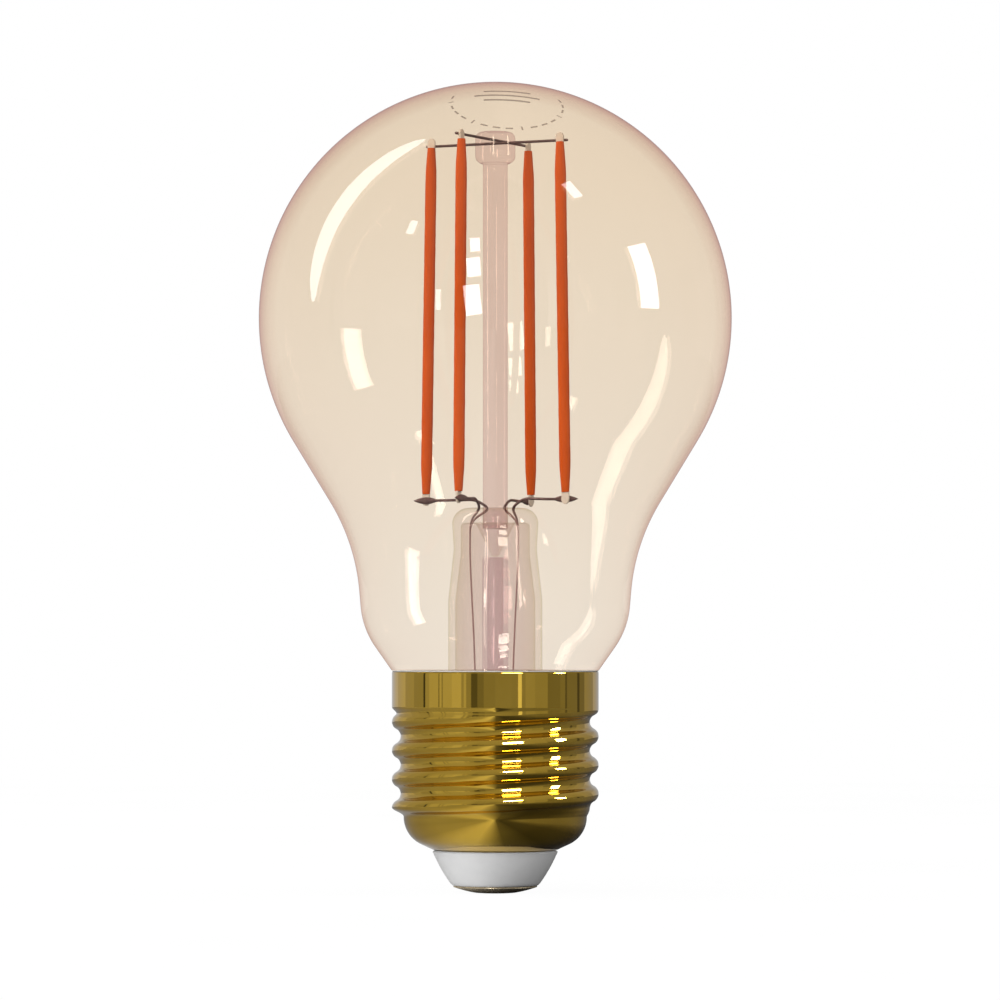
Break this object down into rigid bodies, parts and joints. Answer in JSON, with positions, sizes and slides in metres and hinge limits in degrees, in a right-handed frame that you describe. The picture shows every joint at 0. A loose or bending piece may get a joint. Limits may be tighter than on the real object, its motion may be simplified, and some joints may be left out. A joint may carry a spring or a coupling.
{
  "type": "smart light bulb",
  "caption": "Amber glass LED filament smart lamp with upright orange filaments on a glass stem, a screw cap and a radio driver board in the cap.",
  "frame": {"origin": "centre of the flat at the bottom of the centre contact", "axes": "+Z along the lamp's axis towards the globe; the view in the picture looks along +Y with +X to the right"},
  "size_m": [0.06, 0.06, 0.1028],
  "materials": {
    "amber_glass": "clear amber-tinted blown glass, glossy",
    "stem_glass": "clear drawn glass, glossy",
    "phosphor": "orange phosphor-loaded silicone, semi-gloss",
    "filament_carrier": "pale carrier with tinned end tabs, satin",
    "led_chip": "clear chip, glossy",
    "support_wire": "drawn nickel alloy wire, oxidised, satin",
    "cap_metal": "polished gold-tone plated brass",
    "insulator_plastic": "white moulded plastic, satin",
    "contact_metal": "pale brass, satin",
    "cement": "cured basing cement, matte",
    "housing_plastic": "black moulded plastic, matte",
    "circuit_board": "green solder mask, semi-gloss",
    "can_aluminium": "drawn aluminium can, satin",
    "ferrite": "sintered ferrite, matte",
    "copper": "enamelled copper, glossy",
    "chip_black": "moulded epoxy, matte",
    "resistor_body": "lacquered body, semi-gloss",
    "part_ceramic": "ceramic chip body, satin",
    "shield_tin": "tinned sheet, satin",
    "wire_red": "wire insulation, semi-gloss",
    "wire_blue": "wire insulation, semi-gloss",
    "solder": "solder, satin"
  },
  "bodies": {
    "root": {"glass_envelope": "amber_glass", "stem_flare": "stem_glass", "exhaust_tube": "stem_glass", "stem_rod": "stem_glass", "glass_bead": "stem_glass", "filament_1": "phosphor", "filament_2": "phosphor", "filament_3": "phosphor", "filament_4": "phosphor", "filament_strip_1": "filament_carrier", "filament_strip_2": "filament_carrier", "filament_strip_3": "filament_carrier", "filament_strip_4": "filament_carrier", "led_chips": "led_chip", "top_wire_a": "support_wire", "top_wire_b": "support_wire", "lead_wire_1": "support_wire", "lead_wire_2": "support_wire", "lead_wire_3": "support_wire", "lead_wire_4": "support_wire", "cap_shell": "cap_metal", "cap_insulator": "insulator_plastic", "centre_contact": "contact_metal", "basing_cement": "cement", "driver_housing": "housing_plastic", "driver_board": "circuit_board", "bulk_capacitor": "can_aluminium", "capacitor_base": "housing_plastic", "choke_core": "ferrite", "choke_winding": "copper", "bridge_rectifier": "chip_black", "fuse_resistor": "resistor_body", "driver_chip": "chip_black", "board_parts": "part_ceramic", "radio_board": "circuit_board", "radio_chip": "chip_black", "radio_shield": "shield_tin", "antenna_trace": "copper", "live_wire": "wire_red", "neutral_wire": "wire_blue", "solder_joints": "solder"}
  },
  "joints": []
}
